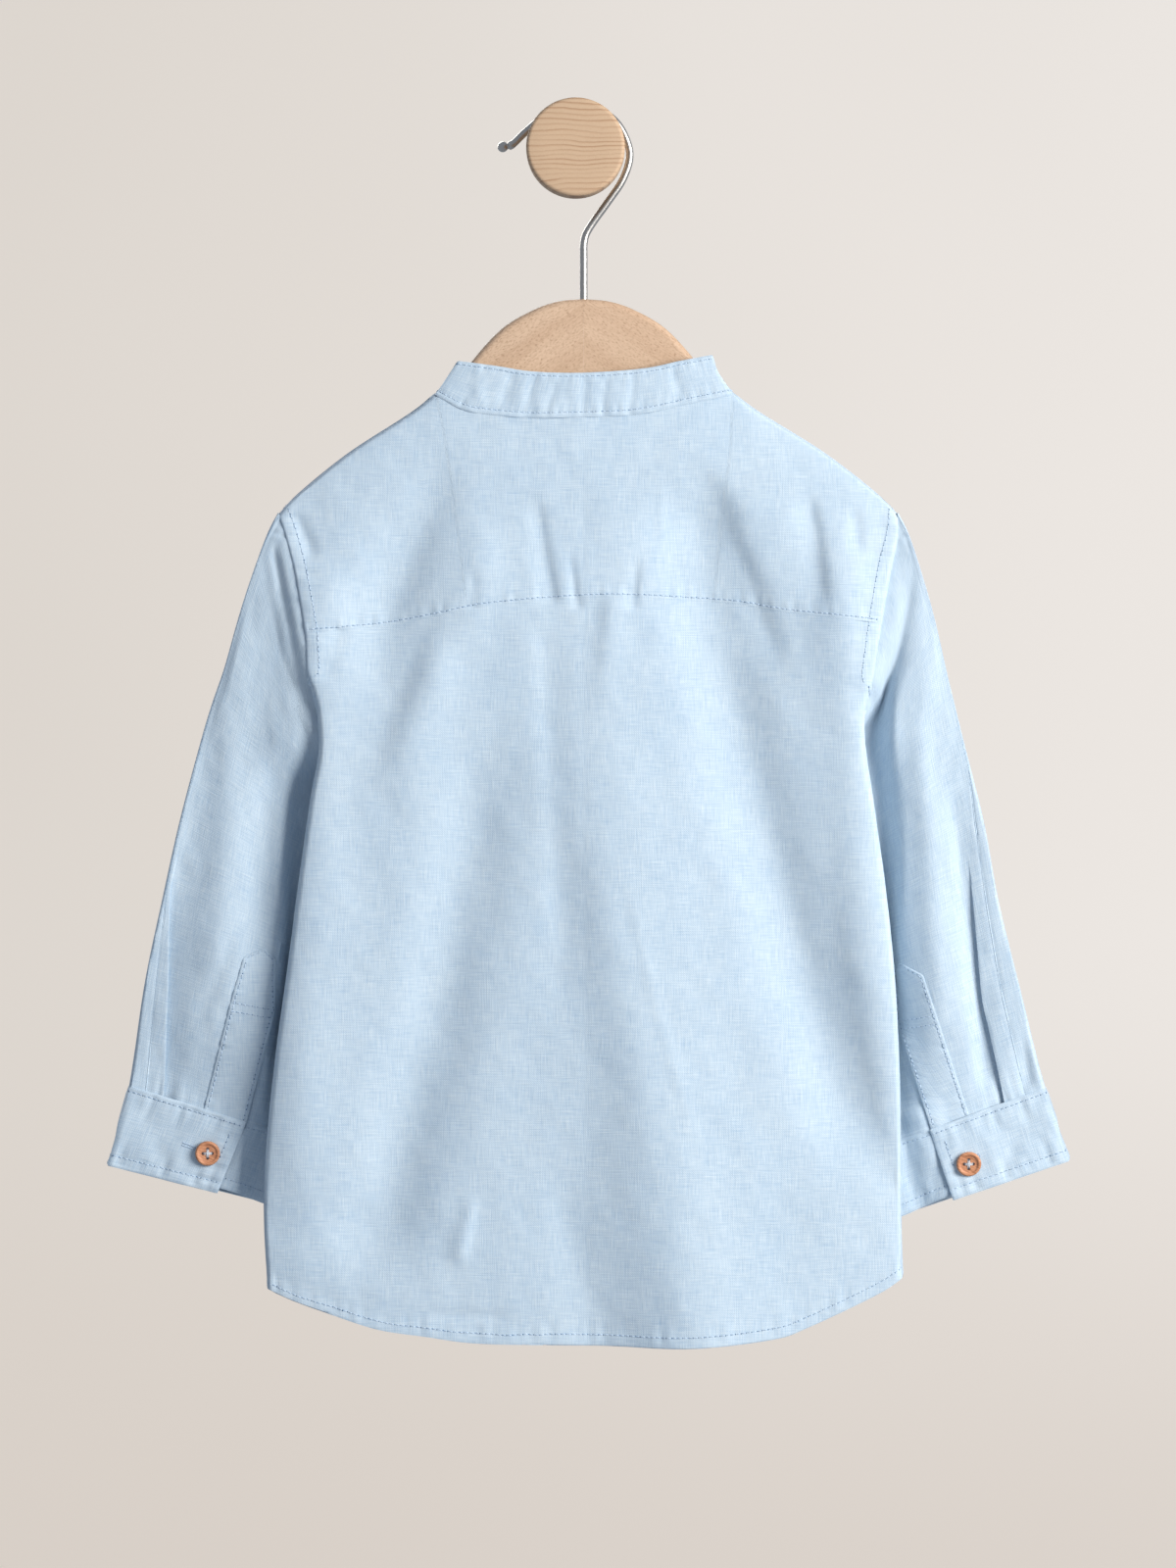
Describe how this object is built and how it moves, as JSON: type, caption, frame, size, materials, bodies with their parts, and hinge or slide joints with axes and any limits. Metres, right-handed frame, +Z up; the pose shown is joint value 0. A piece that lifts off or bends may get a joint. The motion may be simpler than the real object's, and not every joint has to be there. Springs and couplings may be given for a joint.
{
  "type": "mandarin collar shirt on a hanger and wall peg",
  "caption": "Child's long-sleeved shirt with a mandarin collar, hung flat on a wooden hanger whose wire hook rests over a round wooden wall peg.",
  "frame": {"origin": "centre of the wall peg's flat back face, on the wall", "axes": "+Z up, +Y into the wall, so the shirt's back faces -Y, +X to the right seen from the shirt's back"},
  "size_m": [0.448, 0.046, 0.5723],
  "materials": {
    "chambray": "matt light-blue slub chambray",
    "button": "satin tan, wood look",
    "beech": "satin clear lacquer",
    "steel": "satin wire"
  },
  "bodies": {
    "root": {"back_panel": "chambray", "back_yoke": "chambray", "front_left": "chambray", "front_right": "chambray", "front_placket": "chambray", "collar_band": "chambray", "sleeve_left": "chambray", "sleeve_right": "chambray", "cuff_left": "chambray", "cuff_right": "chambray", "sleeve_placket_left": "chambray", "sleeve_placket_right": "chambray", "button_cuff_left": "button", "button_cuff_right": "button", "button_collar": "button", "button_front_1": "button", "button_front_2": "button", "button_front_3": "button", "button_front_4": "button", "button_front_5": "button", "button_front_6": "button", "hanger_left": "beech", "hanger_right": "beech", "hanger_hook": "steel", "wall_peg": "beech"}
  },
  "joints": []
}
